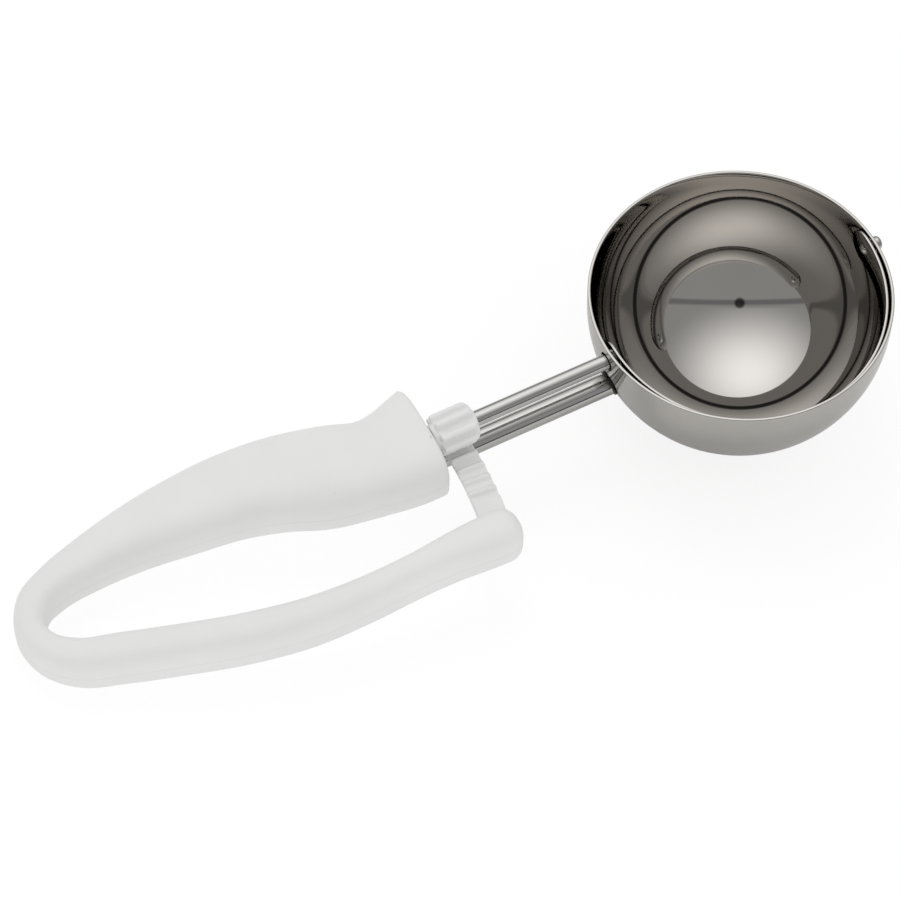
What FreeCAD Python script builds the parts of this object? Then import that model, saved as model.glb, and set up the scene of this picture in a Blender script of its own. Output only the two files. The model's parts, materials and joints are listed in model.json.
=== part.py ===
import FreeCAD, Part
import math
import os

# Lever ice cream scoop: a round steel bowl on a straight shank, a half-ring blade that sweeps the bowl,
# and a one-piece springy handle whose lever drives a toothed strap under a pinion on the blade's shaft.
# Lengths are millimetres. While it is built the bowl's centre is the origin, the shaft lies along X with
# the bowl in front, the bowl opens upwards and the lever is on the -Y side. The finished scoop then leans
# back onto a table, on its bowl and the tail of its handle, with the middle of its underside at the origin.

# Bowl
BOWL_RADIUS = 38.2
BOWL_WALL = 0.8
RIM_HEIGHT = 4.5
RIM_ROUND = 0.25

# Blade
BLADE_GAP = 0.8
BLADE_THICKNESS = 0.9
BLADE_WIDTH = 10.0
PARK_ANGLE = 5.0

# Shaft, pin and their riveted ends
SHAFT_RADIUS = 2.0
SHAFT_IN_GRIP = 22.0
PIN_RADIUS = 1.4
TENON_RADIUS = 1.2
RIVET_RADIUS = 1.7
RIVET_HEIGHT = 0.7
KNOB_RADIUS = 1.85
KNOB_LENGTH = 2.5
KNOB_ROUND = 1.0
RUNNING_CLEARANCE = 0.05
SIDE_CLEARANCE = 0.3
SEAT_CLEARANCE = 0.02

# Shank
SHANK_RADIUS = 3.0
SHANK_IN_GRIP = 30.0
FREE_SHANK = 49.0
GROOVE_DEPTH = 0.5
GROOVE_WIDTH = 2.0
GROOVE_COUNT = 2
WELD_LEG = 0.7

# Pinion and toothed strap
PINION_TEETH = 8
TOOTH_PITCH = 3.6
PINION_LENGTH = 10.6
PINION_AHEAD = 1.5
PINION_DOME = 3.2
PINION_TIP_ROUND = 0.88
PINION_TIP_OUT = 0.93
PINION_ROOT_IN = 0.98
HUB_RADIUS = 3.3
STRAP_WIDTH = 7.2
STRAP_AHEAD = 6.6
STRAP_BACK = 1.15
STRAP_TIP_OUT = 0.7
STRAP_ROOT_IN = 1.25
STRAP_TOOTH_WIDTH = 1.1
STRAP_FLANK_ANGLE = 22.0
STRAP_TEETH_AHEAD = 2
STRAP_TEETH_BEHIND = 5
STRAP_PAD_GAP = 0.67
STRAP_IN_LEVER = 4.5

# Handle
LOOP_SQUARENESS = 3.1
SECTION_POINTS = 16
COLLAR_WIDTH = 27.8
COLLAR_HEIGHT = 19.6
COLLAR_ROUND = 1.3
NECK_WIDTH = 23.0
PALM_WIDTH = 24.6
TAIL_THICKNESS = 7.5
TAIL_HEIGHT = 13.0
LEVER_THICKNESS = 9.5
LEVER_WAIST = 7.8
LEVER_HEIGHT = 14.5
TIP_THICKNESS = 10.8
TIP_ROUND = 4.2
BOW_LENGTH = 12.0

# Lever hinge: the springy bow bends about this place, given from the front of the collar
HINGE_BEHIND = 104.0
HINGE_ACROSS = -3.5

# Places that follow from the sizes
BOWL_INSIDE = BOWL_RADIUS - BOWL_WALL
BLADE_OUTSIDE = BOWL_INSIDE - BLADE_GAP
BLADE_INSIDE = BLADE_OUTSIDE - BLADE_THICKNESS
COLLAR_X = -(BOWL_RADIUS + FREE_SHANK)
HINGE_X = COLLAR_X - HINGE_BEHIND
PITCH_RADIUS = TOOTH_PITCH * PINION_TEETH / (2.0 * math.pi)
PINION_REAR_X = COLLAR_X + PINION_AHEAD
STRAP_MID_X = COLLAR_X + STRAP_AHEAD
STRAP_REACH = STRAP_MID_X - HINGE_X
STRAP_TIP_Z = -PITCH_RADIUS + STRAP_TIP_OUT
STRAP_ROOT_Z = -PITCH_RADIUS - STRAP_ROOT_IN
STRAP_BACK_Z = STRAP_ROOT_Z - STRAP_BACK
SHANK_Z = STRAP_BACK_Z - SIDE_CLEARANCE - SHANK_RADIUS
LOOP_Z = SHANK_Z / 2.0
MESH_ANGLE = math.asin(-HINGE_ACROSS / STRAP_REACH)
LEVER_RATIO = STRAP_REACH * math.cos(MESH_ANGLE) / PITCH_RADIUS
SWEEP_ANGLE = 180.0 - 2.0 * PARK_ANGLE
SQUEEZE_ANGLE = SWEEP_ANGLE / LEVER_RATIO

# Sections of the handle loop, from the collar round the tail to the lever's tip:
# distance behind the collar, place across, thickness across the loop and height
LOOP_SECTIONS = (
    (0.0, 2.8, COLLAR_WIDTH, COLLAR_HEIGHT),
    (6.0, 1.8, 25.8, 19.4),
    (15.0, 1.9, NECK_WIDTH, 19.0),
    (26.0, 4.7, PALM_WIDTH, 18.6),
    (37.0, 8.3, 22.8, 18.2),
    (49.0, 10.5, 20.4, 17.6),
    (61.5, 11.0, 18.2, 16.6),
    (74.5, 10.8, 14.8, 15.5),
    (87.5, 9.3, 11.4, 14.4),
    (97.4, 7.2, 9.2, 13.6),
    (104.4, 3.8, 8.2, 13.2),
    (107.8, -2.6, TAIL_THICKNESS, TAIL_HEIGHT),
    (106.2, -9.2, 8.1, 13.2),
    (100.6, -14.6, 9.2, 13.7),
    (91.5, -18.0, 9.6, 14.2),
    (77.9, -22.5, LEVER_THICKNESS, LEVER_HEIGHT),
    (62.7, -27.0, LEVER_THICKNESS, LEVER_HEIGHT),
    (47.5, -29.9, 9.0, LEVER_HEIGHT),
    (32.5, -30.6, 8.0, LEVER_HEIGHT),
    (17.8, -30.1, LEVER_WAIST, LEVER_HEIGHT),
    (8.5, -29.7, 9.2, 14.3),
    (0.8, -29.8, 10.6, 14.1),
    (-4.4, -30.0, TIP_THICKNESS, 13.8),
)
TIP_DOME_ANGLES = (35.0, 60.0, 80.0)

X_AXIS = FreeCAD.Vector(1, 0, 0)
Y_AXIS = FreeCAD.Vector(0, 1, 0)
Z_AXIS = FreeCAD.Vector(0, 0, 1)
ORIGIN = FreeCAD.Vector(0, 0, 0)


def vec(x, y, z):
    return FreeCAD.Vector(x, y, z)


def line(a, b):
    return Part.LineSegment(a, b).toShape()


def arc(a, middle, b):
    return Part.Arc(a, middle, b).toShape()


def rod_along_x(radius, x_from, x_to, y=0.0, z=0.0):
    return Part.makeCylinder(radius, x_to - x_from, vec(x_from, y, z), X_AXIS)


def turned(edges, axis):
    face = Part.Face(Part.Wire(edges))
    return face.revolve(ORIGIN, axis, 360)


def bowl():
    """Spun hemisphere with a short straight band up to a rounded rim, and two pivot holes."""
    r, wall, top, soft = BOWL_RADIUS, BOWL_WALL, RIM_HEIGHT, RIM_ROUND
    inner = BOWL_INSIDE
    half = math.sqrt(0.5)
    edges = [
        arc(vec(0, 0, -r), vec(r * half, 0, -r * half), vec(r, 0, 0)),
        line(vec(r, 0, 0), vec(r, 0, top - soft)),
        arc(vec(r, 0, top - soft), vec(r - soft + soft * half, 0, top - soft + soft * half), vec(r - soft, 0, top)),
        line(vec(r - soft, 0, top), vec(inner + soft, 0, top)),
        arc(vec(inner + soft, 0, top), vec(inner + soft - soft * half, 0, top - soft + soft * half),
            vec(inner, 0, top - soft)),
        line(vec(inner, 0, top - soft), vec(inner, 0, 0)),
        arc(vec(inner, 0, 0), vec(inner * half, 0, -inner * half), vec(0, 0, -inner)),
        line(vec(0, 0, -inner), vec(0, 0, -r)),
    ]
    shell = turned(edges, Z_AXIS)
    shaft_hole = rod_along_x(SHAFT_RADIUS + RUNNING_CLEARANCE, -r - wall, 0)
    pin_hole = rod_along_x(PIN_RADIUS + RUNNING_CLEARANCE, 0, r + wall)
    return shell.cut(shaft_hole).cut(pin_hole)


def sweep_blade():
    """Half-ring strip that follows the bowl, with round ears drilled on the pivot axis."""
    half_width = BLADE_WIDTH / 2.0
    ring = Part.makeCylinder(BLADE_OUTSIDE, BLADE_WIDTH, vec(0, 0, -half_width), Z_AXIS, 180)
    ring = ring.cut(Part.makeCylinder(BLADE_INSIDE, BLADE_WIDTH, vec(0, 0, -half_width), Z_AXIS, 180))
    ring.rotate(ORIGIN, Z_AXIS, 180)
    strip = ring
    for side in (-1, 1):
        x_low = min(side * BLADE_INSIDE, side * BLADE_OUTSIDE)
        strip = strip.fuse(rod_along_x(half_width, x_low, x_low + BLADE_THICKNESS))
    strip = strip.removeSplitter()
    strip = strip.cut(rod_along_x(TENON_RADIUS, -BLADE_OUTSIDE - BLADE_WIDTH, BLADE_OUTSIDE + BLADE_WIDTH))
    strip.rotate(ORIGIN, X_AXIS, PARK_ANGLE)
    return strip


def rivet(x_seat, inwards):
    """Peened head inside an ear, domed towards the bowl's centre."""
    dome_radius = (RIVET_RADIUS ** 2 + RIVET_HEIGHT ** 2) / (2.0 * RIVET_HEIGHT)
    dome = Part.makeSphere(dome_radius, vec(x_seat + inwards * (RIVET_HEIGHT - dome_radius), 0, 0))
    size = 2.0 * dome_radius
    corner_x = x_seat if inwards > 0 else x_seat - size
    return dome.common(Part.makeBox(size, size, size, vec(corner_x, -dome_radius, -dome_radius)))


def rivet_seat():
    return math.sqrt(BLADE_INSIDE ** 2 - RIVET_RADIUS ** 2) - SEAT_CLEARANCE


def blade_shaft():
    """Shaft from the near ear through the bowl and the pinion into its bearing in the grip."""
    shoulder = -BLADE_OUTSIDE - SEAT_CLEARANCE
    body = rod_along_x(SHAFT_RADIUS, COLLAR_X - SHAFT_IN_GRIP, shoulder)
    tenon = rod_along_x(TENON_RADIUS, shoulder, -rivet_seat())
    return body.fuse([tenon, rivet(-rivet_seat(), 1)]).removeSplitter()


def pivot_pin():
    """Pin through the far side of the bowl, with a rounded knob outside and a peened end inside."""
    shoulder = BLADE_OUTSIDE + SEAT_CLEARANCE
    knob_x = BOWL_RADIUS + SIDE_CLEARANCE
    tip_x = knob_x + KNOB_LENGTH
    body = rod_along_x(PIN_RADIUS, shoulder, knob_x)
    tenon = rod_along_x(TENON_RADIUS, rivet_seat(), shoulder)
    knob = rod_along_x(KNOB_RADIUS, knob_x, tip_x)
    rim = [edge for edge in knob.Edges if abs(edge.CenterOfMass.x - tip_x) < SEAT_CLEARANCE]
    knob = knob.makeFillet(KNOB_ROUND, rim)
    return body.fuse([tenon, knob, rivet(rivet_seat(), -1)]).removeSplitter()


def shank():
    """Round bar coped to the bowl in front, with locking grooves where the grip is moulded round it."""
    bar = rod_along_x(SHANK_RADIUS, COLLAR_X - SHANK_IN_GRIP, 0, 0, SHANK_Z)
    for index in range(GROOVE_COUNT):
        x = COLLAR_X - SHANK_IN_GRIP + (2 * index + 2) * 2 * GROOVE_WIDTH
        ring = rod_along_x(SHANK_RADIUS, x, x + GROOVE_WIDTH, 0, SHANK_Z)
        core = rod_along_x(SHANK_RADIUS - GROOVE_DEPTH, x, x + GROOVE_WIDTH, 0, SHANK_Z)
        bar = bar.cut(ring.cut(core))
    return bar.cut(Part.makeSphere(BOWL_RADIUS))


def shank_weld(bar):
    """Thin weld bead round the shank where it meets the bowl."""
    bead = rod_along_x(SHANK_RADIUS + WELD_LEG, -BOWL_RADIUS - WELD_LEG, -BOWL_RADIUS / 2.0, 0, SHANK_Z)
    bead = bead.common(Part.makeSphere(BOWL_RADIUS + WELD_LEG)).cut(Part.makeSphere(BOWL_RADIUS))
    return bead.cut(bar)


def pinion_outline(x):
    """Closed outline of round-topped teeth: tip arcs and root arcs that run into each other."""
    half_step = math.pi / PINION_TEETH
    tip_centre = PITCH_RADIUS + PINION_TIP_OUT - PINION_TIP_ROUND
    root = PITCH_RADIUS - PINION_ROOT_IN
    reach = root - PINION_TIP_ROUND
    top = tip_centre ** 2 - reach ** 2
    root_centre = top / (2.0 * (tip_centre * math.cos(half_step) - reach))
    root_round = root_centre - root

    def polar(radius, angle):
        return vec(x, radius * math.cos(angle), radius * math.sin(angle))

    edges = []
    for tooth in range(PINION_TEETH):
        middle = 2 * tooth * half_step - math.pi / 2.0
        tip = polar(tip_centre, middle)
        before = polar(root_centre, middle - half_step)
        after = polar(root_centre, middle + half_step)
        share = PINION_TIP_ROUND / (PINION_TIP_ROUND + root_round)
        join_before = tip + (before - tip) * share
        join_after = tip + (after - tip) * share
        edges.append(arc(join_before, polar(tip_centre + PINION_TIP_ROUND, middle), join_after))
        next_tip = polar(tip_centre, middle + 2 * half_step)
        next_join = next_tip + (after - next_tip) * share
        edges.append(arc(join_after, polar(root, middle + half_step), next_join))
    return Part.Wire(edges)


def pinion():
    """Moulded pinion with eight fat teeth, a domed front end and a thrust hub behind."""
    front = PINION_REAR_X + PINION_LENGTH
    teeth = Part.Face(pinion_outline(PINION_REAR_X)).extrude(vec(PINION_LENGTH, 0, 0))
    outside = PITCH_RADIUS + PINION_TIP_OUT + SIDE_CLEARANCE
    half = math.sqrt(0.5)
    dome = [
        line(vec(PINION_REAR_X, 0, 0), vec(PINION_REAR_X, 0, outside)),
        line(vec(PINION_REAR_X, 0, outside), vec(front - PINION_DOME, 0, outside)),
        arc(vec(front - PINION_DOME, 0, outside),
            vec(front - PINION_DOME + PINION_DOME * half, 0, outside - PINION_DOME + PINION_DOME * half),
            vec(front, 0, outside - PINION_DOME)),
        line(vec(front, 0, outside - PINION_DOME), vec(front, 0, 0)),
        line(vec(front, 0, 0), vec(PINION_REAR_X, 0, 0)),
    ]
    body = teeth.common(turned(dome, X_AXIS))
    hub = rod_along_x(HUB_RADIUS, COLLAR_X + SIDE_CLEARANCE, PINION_REAR_X)
    body = body.fuse(hub)
    return body.cut(rod_along_x(SHAFT_RADIUS, COLLAR_X, front + PINION_LENGTH))


def sector(start, end, z_low, z_high):
    """Flat piece of a ring round the hinge, between two angles in radians."""
    inner = STRAP_REACH - STRAP_WIDTH / 2.0
    outer = STRAP_REACH + STRAP_WIDTH / 2.0

    def at(radius, angle):
        return vec(HINGE_X + radius * math.cos(angle), HINGE_ACROSS + radius * math.sin(angle), z_low)

    middle = (start + end) / 2.0
    edges = [
        arc(at(inner, start), at(inner, middle), at(inner, end)),
        line(at(inner, end), at(outer, end)),
        arc(at(outer, end), at(outer, middle), at(outer, start)),
        line(at(outer, start), at(inner, start)),
    ]
    return Part.Face(Part.Wire(edges)).extrude(vec(0, 0, z_high - z_low))


def strap_tooth(angle):
    """One tooth, a round-topped wedge that points at the hinge."""
    inner = STRAP_REACH - STRAP_WIDTH / 2.0
    slope = math.tan(math.radians(STRAP_FLANK_ANGLE))
    half_tip = STRAP_TOOTH_WIDTH / 2.0 - STRAP_TIP_OUT * slope
    half_root = STRAP_TOOTH_WIDTH / 2.0 + STRAP_ROOT_IN * slope
    shoulder_z = STRAP_TIP_Z - half_tip / 2.0
    half_shoulder = half_tip + half_tip * slope / 2.0
    low_z = STRAP_ROOT_Z - STRAP_BACK / 2.0
    edges = [
        line(vec(inner, -half_root, low_z), vec(inner, -half_root, STRAP_ROOT_Z)),
        line(vec(inner, -half_root, STRAP_ROOT_Z), vec(inner, -half_shoulder, shoulder_z)),
        arc(vec(inner, -half_shoulder, shoulder_z), vec(inner, 0, STRAP_TIP_Z), vec(inner, half_shoulder, shoulder_z)),
        line(vec(inner, half_shoulder, shoulder_z), vec(inner, half_root, STRAP_ROOT_Z)),
        line(vec(inner, half_root, STRAP_ROOT_Z), vec(inner, half_root, low_z)),
        line(vec(inner, half_root, low_z), vec(inner, -half_root, low_z)),
    ]
    tooth = Part.Face(Part.Wire(edges)).extrude(vec(STRAP_WIDTH, 0, 0))
    tooth.rotate(ORIGIN, Z_AXIS, math.degrees(angle))
    tooth.translate(vec(HINGE_X, HINGE_ACROSS, 0))
    return tooth


def gear_strap():
    """Toothed strap, curved round the hinge, with its root in the lever's tip."""
    step = TOOTH_PITCH / (STRAP_REACH * math.cos(MESH_ANGLE))
    free_end = MESH_ANGLE + STRAP_TEETH_AHEAD * step
    pad_start = MESH_ANGLE - (STRAP_TEETH_BEHIND - 0.5 + STRAP_PAD_GAP) * step
    lever_face = LOOP_SECTIONS[-2][1] + LOOP_SECTIONS[-2][2] / 2.0
    root = math.asin((lever_face - STRAP_IN_LEVER - HINGE_ACROSS) / STRAP_REACH)
    pieces = [sector(root, pad_start, STRAP_BACK_Z, STRAP_TIP_Z)]
    for index in range(-STRAP_TEETH_BEHIND, STRAP_TEETH_AHEAD):
        pieces.append(strap_tooth(MESH_ANGLE + (index + 0.5) * step))
    back = sector(root, free_end, STRAP_BACK_Z, STRAP_ROOT_Z)
    return back.fuse(pieces).removeSplitter()


def loop_section(centre, forwards, width, height):
    """Rounded-square section across the loop, as one closed smooth curve."""
    sideways = Z_AXIS.cross(forwards)
    points = []
    for index in range(SECTION_POINTS):
        angle = 2.0 * math.pi * index / SECTION_POINTS
        across = math.copysign(abs(math.cos(angle)) ** (2.0 / LOOP_SQUARENESS), math.cos(angle))
        up = math.copysign(abs(math.sin(angle)) ** (2.0 / LOOP_SQUARENESS), math.sin(angle))
        points.append(centre + sideways * (across * width / 2.0) + Z_AXIS * (up * height / 2.0))
    curve = Part.BSplineCurve()
    curve.interpolate(Points=points, PeriodicFlag=True)
    return Part.Wire(curve.toShape())


def handle_loop():
    """The whole moulded loop: grip, springy bow and lever."""
    centres = [vec(COLLAR_X - back, across, LOOP_Z) for back, across, width, height in LOOP_SECTIONS]
    wires = []
    last = len(centres) - 1
    for index, (back, across, width, height) in enumerate(LOOP_SECTIONS):
        forwards = centres[min(index + 1, last)] - centres[max(index - 1, 0)]
        if index == 0:
            forwards = -X_AXIS
        forwards.normalize()
        wires.append(loop_section(centres[index], forwards, width, height))
    width, height = LOOP_SECTIONS[-1][2:]
    for angle in TIP_DOME_ANGLES:
        reach = TIP_ROUND * math.sin(math.radians(angle))
        shrink = 2.0 * TIP_ROUND * (1.0 - math.cos(math.radians(angle)))
        centre = centres[-1] + forwards * reach
        wires.append(loop_section(centre, forwards, width - shrink, height - shrink))
    return Part.makeLoft(wires, True, False)


def handle(bar, strap):
    """Grip, bow and lever, cut from the loop where the bow begins on each side."""
    loop = handle_loop()
    tail = max(section[0] for section in LOOP_SECTIONS)
    cut_x = COLLAR_X - tail + BOW_LENGTH
    size = 4.0 * tail
    behind = Part.makeBox(size, size, size, vec(cut_x - size, -size / 2.0, -size / 2.0))
    bow = loop.common(behind).Solids[0]
    halves = sorted(loop.cut(behind).Solids, key=lambda solid: solid.CenterOfMass.y)
    lever, grip = halves[0], halves[-1]
    front = [face for face in grip.Faces if abs(face.CenterOfMass.x - COLLAR_X) < SEAT_CLEARANCE][0]
    grip = grip.makeFillet(COLLAR_ROUND, front.Edges)
    bearing = rod_along_x(SHAFT_RADIUS + RUNNING_CLEARANCE, COLLAR_X - SHAFT_IN_GRIP - SIDE_CLEARANCE, 0)
    grip = grip.cut(bar).cut(bearing)
    return grip, bow, lever.cut(strap)


def rest_tilt():
    """Angle in degrees that the scoop leans back until its bowl and its tail both meet the table."""
    leans = []
    for back, across, width, height in LOOP_SECTIONS:
        behind = back - COLLAR_X
        below = height / 2.0 - LOOP_Z
        reach = math.hypot(behind, below)
        leans.append(math.asin(BOWL_RADIUS / reach) - math.atan2(below, behind))
    return math.degrees(min(leans))


def lay_down(nodes):
    """Leans every piece back and brings the middle of the underside to the origin."""
    box = FreeCAD.BoundBox()
    for shape in nodes.values():
        shape.rotate(ORIGIN, Y_AXIS, -rest_tilt())
        box.add(shape.optimalBoundingBox(False))
    shift = vec(-box.Center.x, -box.Center.y, -box.ZMin)
    for shape in nodes.values():
        shape.translate(shift)
    return shift


def placed(point, shift):
    """Where a point of the level scoop ends up on the table."""
    lean = FreeCAD.Rotation(Y_AXIS, -rest_tilt())
    return lean.multVec(point) + shift


def main():
    os.makedirs("parts", exist_ok=True)
    bar = shank()
    strap = gear_strap()
    grip, bow, lever = handle(bar, strap)
    nodes = {
        "bowl": bowl(),
        "shank": bar,
        "shank_weld": shank_weld(bar),
        "handle_grip": grip,
        "handle_bow": bow,
        "handle_lever": lever,
        "gear_strap": strap,
        "pinion": pinion(),
        "blade_shaft": blade_shaft(),
        "sweep_blade": sweep_blade(),
        "pivot_pin": pivot_pin(),
    }
    shift = lay_down(nodes)
    for name, shape in nodes.items():
        shape.exportStep("parts/" + name + ".step")
        print(name, shape.isValid(), len(shape.Solids), round(shape.Volume, 1), shape.BoundBox)
    print("blade pivot", placed(ORIGIN, shift), "lever hinge", placed(vec(HINGE_X, HINGE_ACROSS, LOOP_Z), shift))
    print("tilt", rest_tilt(), "squeeze", SQUEEZE_ANGLE, "blade turns per lever turn", LEVER_RATIO)


main()
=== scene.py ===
"""Lever ice cream scoop: a polished steel bowl with a sweep blade, and a white springy squeeze handle."""

import json
import math

import bpy
from mathutils import Matrix, Vector


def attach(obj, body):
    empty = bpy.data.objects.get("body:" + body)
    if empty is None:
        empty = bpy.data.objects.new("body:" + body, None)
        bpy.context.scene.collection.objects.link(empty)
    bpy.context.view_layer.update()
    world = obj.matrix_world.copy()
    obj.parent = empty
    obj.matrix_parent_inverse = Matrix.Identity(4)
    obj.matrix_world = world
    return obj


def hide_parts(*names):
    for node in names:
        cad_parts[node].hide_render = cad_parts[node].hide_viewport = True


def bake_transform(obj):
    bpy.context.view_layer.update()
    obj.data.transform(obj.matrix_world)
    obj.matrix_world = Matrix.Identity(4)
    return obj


bl_info = {
    "name": "Lever Ice Cream Scoop",
    "version": (1, 0, 0),
    "blender": (4, 5, 0),
    "location": "View3D > Sidebar > Scoop",
    "description": "Models and finishes a squeeze-handle ice cream scoop around its fixed frame",
    "category": "Object",
}

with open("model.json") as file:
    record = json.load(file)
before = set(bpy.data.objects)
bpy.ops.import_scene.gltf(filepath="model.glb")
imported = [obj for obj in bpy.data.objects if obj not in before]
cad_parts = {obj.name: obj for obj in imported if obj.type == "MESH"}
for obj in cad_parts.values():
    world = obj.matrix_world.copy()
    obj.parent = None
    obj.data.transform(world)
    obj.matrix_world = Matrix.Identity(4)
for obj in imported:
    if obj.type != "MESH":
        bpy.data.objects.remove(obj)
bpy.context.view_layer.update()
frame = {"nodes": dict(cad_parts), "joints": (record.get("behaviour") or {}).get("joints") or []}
JOINTS = {joint["name"]: joint for joint in frame["joints"]}

# The level scoop: its shaft along X, the lever's side at -Y and the bowl's centre at the origin
SHAFT = Vector(JOINTS["blade_turn"]["axis"]).normalized()
UPRIGHT = Vector(JOINTS["lever_squeeze"]["axis"]).normalized()
ACROSS = UPRIGHT.cross(SHAFT)
BOWL_CENTRE = Vector(JOINTS["blade_turn"]["pos_m"])
LEVEL = Matrix.Translation(BOWL_CENTRE) @ Matrix((SHAFT, ACROSS, UPRIGHT)).transposed().to_4x4()

MM = 0.001

# Bowl and blade: sizes that the frame's solids have, in millimetres
BOWL_RADIUS = 38.2
BOWL_WALL = 0.8
RIM_HEIGHT = 4.5
RIM_ROUND = 0.25
BLADE_GAP = 0.8
BLADE_WIDTH = 10.0
PARK_ANGLE = 5.0

# Shaft, pin and their riveted ends
SHAFT_RADIUS = 2.0
SHAFT_IN_GRIP = 22.0
PIN_RADIUS = 1.4
TENON_RADIUS = 1.2
RIVET_RADIUS = 1.7
RIVET_HEIGHT = 0.7
KNOB_RADIUS = 1.85
KNOB_LENGTH = 2.5
KNOB_ROUND = 1.0
SIDE_CLEARANCE = 0.3
SEAT_CLEARANCE = 0.02

# Shank, and what sets its height: the pinion's teeth and the strap that runs under them
SHANK_RADIUS = 3.0
SHANK_IN_GRIP = 30.0
FREE_SHANK = 49.0
GROOVE_DEPTH = 0.5
GROOVE_WIDTH = 2.0
GROOVE_COUNT = 2
PINION_TEETH = 8
TOOTH_PITCH = 3.6
STRAP_ROOT_IN = 1.25
STRAP_BACK = 1.15

# Handle
SQUARENESS = 3.1
COLLAR_WIDTH = 27.8
COLLAR_HEIGHT = 19.6
COLLAR_ROUND = 1.3
NECK_WIDTH = 23.0
PALM_WIDTH = 24.6
TAIL_THICKNESS = 7.5
TAIL_HEIGHT = 13.0
LEVER_THICKNESS = 9.5
LEVER_WAIST = 7.8
LEVER_HEIGHT = 14.5
TIP_THICKNESS = 10.8
TIP_ROUND = 4.2

# Places that follow from the sizes
BOWL_INSIDE = BOWL_RADIUS - BOWL_WALL
BLADE_OUTSIDE = BOWL_INSIDE - BLADE_GAP
COLLAR_FRONT = -(BOWL_RADIUS + FREE_SHANK)
STRAP_ROOT = -TOOTH_PITCH * PINION_TEETH / math.tau - STRAP_ROOT_IN
SHANK_DROP = STRAP_BACK + SIDE_CLEARANCE + SHANK_RADIUS - STRAP_ROOT
LOOP_DROP = SHANK_DROP / 2.0
WELD_LEAN = math.asin(SHANK_DROP / BOWL_RADIUS)

# Sections of the handle loop, from the collar round the tail to the lever's tip:
# distance behind the collar's front, place across, thickness across the loop and height
LOOP_SECTIONS = (
    (0.0, 2.8, COLLAR_WIDTH, COLLAR_HEIGHT),
    (6.0, 1.8, 25.8, 19.4),
    (15.0, 1.9, NECK_WIDTH, 19.0),
    (26.0, 4.7, PALM_WIDTH, 18.6),
    (37.0, 8.3, 22.8, 18.2),
    (49.0, 10.5, 20.4, 17.6),
    (61.5, 11.0, 18.2, 16.6),
    (74.5, 10.8, 14.8, 15.5),
    (87.5, 9.3, 11.4, 14.4),
    (97.4, 7.2, 9.2, 13.6),
    (104.4, 3.8, 8.2, 13.2),
    (107.8, -2.6, TAIL_THICKNESS, TAIL_HEIGHT),
    (106.2, -9.2, 8.1, 13.2),
    (100.6, -14.6, 9.2, 13.7),
    (91.5, -18.0, 9.6, 14.2),
    (77.9, -22.5, LEVER_THICKNESS, LEVER_HEIGHT),
    (62.7, -27.0, LEVER_THICKNESS, LEVER_HEIGHT),
    (47.5, -29.9, 9.0, LEVER_HEIGHT),
    (32.5, -30.6, 8.0, LEVER_HEIGHT),
    (17.8, -30.1, LEVER_WAIST, LEVER_HEIGHT),
    (8.5, -29.7, 9.2, 14.3),
    (0.8, -29.8, 10.6, 14.1),
    (-4.4, -30.0, TIP_THICKNESS, 13.8),
)

# Ends of the loop: the grip's sections start this far behind the collar's front, clear of its rounded
# edge, the lever's lie past this place across, and the domed tip closes in steps of a turn, in degrees
COLLAR_STRAIGHT = 4.0
LEVER_SIDE = -20.0
TIP_ANGLES = (18.0, 36.0, 52.0, 66.0, 77.0, 84.0)

# Chamfers of the ends in the grip, and how deep the tools cut at the bowl
SHAFT_CHAMFER = 0.3
SHANK_CHAMFER = 0.4
HOLE_DEPTH = 4.0 * BOWL_WALL
COPE_DEPTH = BOWL_WALL / 3.0

# Weld: how uneven its bead is, in millimetres, the seed of that, and how high it stands for its width
WELD_UNEVEN = 0.12
WELD_SEED = 4
WELD_HEIGHT = 1.2

# How often the edges of the two gear mouldings are eased, and how much each time
PINION_PASSES = 80
STRAP_PASSES = 50
EASE_SHARE = 0.5

# How finely the pieces are divided
BOWL_STEPS = 256
RIM_STEPS = 5
RIM_SHARES = (0.33, 0.67)
HOLE_STEPS = 48
ROD_STEPS = 96
RING_SPACING = 6.0
SHAFT_RINGS = 12
SHANK_RINGS = 9
RIVET_STEPS = 6
KNOB_STEPS = 8
BEAD_STEPS = 20
BLADE_STEPS = 160
BLADE_EDGE_STEPS = 2
EAR_STEPS = 12
SPAN_STEPS = 5
CORNER_STEPS = 10
COLLAR_STEPS = 4
FLOOR_STEPS = 96

# Points that lie nearer than this are merged, in millimetres
TURNED_MERGE = 0.002
MOULDED_MERGE = 0.001

# The blade's end faces: how near the shaft's line they lie, in millimetres, and how squarely they look away
END_REACH = 0.06
FACING = 0.9

# Angles past which an edge stays crisp, in degrees
BOWL_CREASE = 50.0
BLADE_CREASE = 35.0
BLADE_EDGE_ANGLE = 50.0
ROD_CREASE = 40.0
WELD_CREASE = 60.0
HANDLE_CREASE = 60.0

# Middle of a noise pattern, which the finishes stretch to their own range
NOISE_MIDDLE = (0.3, 0.7)

# Polish, its patterns in features to the metre: clouds, haze that changes the roughness, hairlines round
# the bowl, and how much hazier the blade is. A relief is its depth in metres and its strength
POLISH_CLOUDS = 38.0
BOWL_CLOUDING = 0.06
BLADE_CLOUDING = 0.1
BLADE_HAZE = 1.6
POLISH_HAZE = 90.0
HAZE_MIDDLE = (0.35, 0.75)
HAZE_SHARES = (0.7, 1.5)
HAIRLINES = 900.0
HAIRLINE_STRETCH = (1.0, 1.0, 6.0)
HAIRLINE_RELIEF = (0.01 * MM, 0.02)

# Bright bar: rings left by grinding, their darker tone, and the shares of roughness that they span
BAR_RINGS = 260.0
BAR_STRETCH = (14.0, 1.0, 1.0)
BAR_TONE = 0.9
BAR_SHARES = (0.75, 1.4)
BAR_RELIEF = (0.03 * MM, 0.12)

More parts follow.
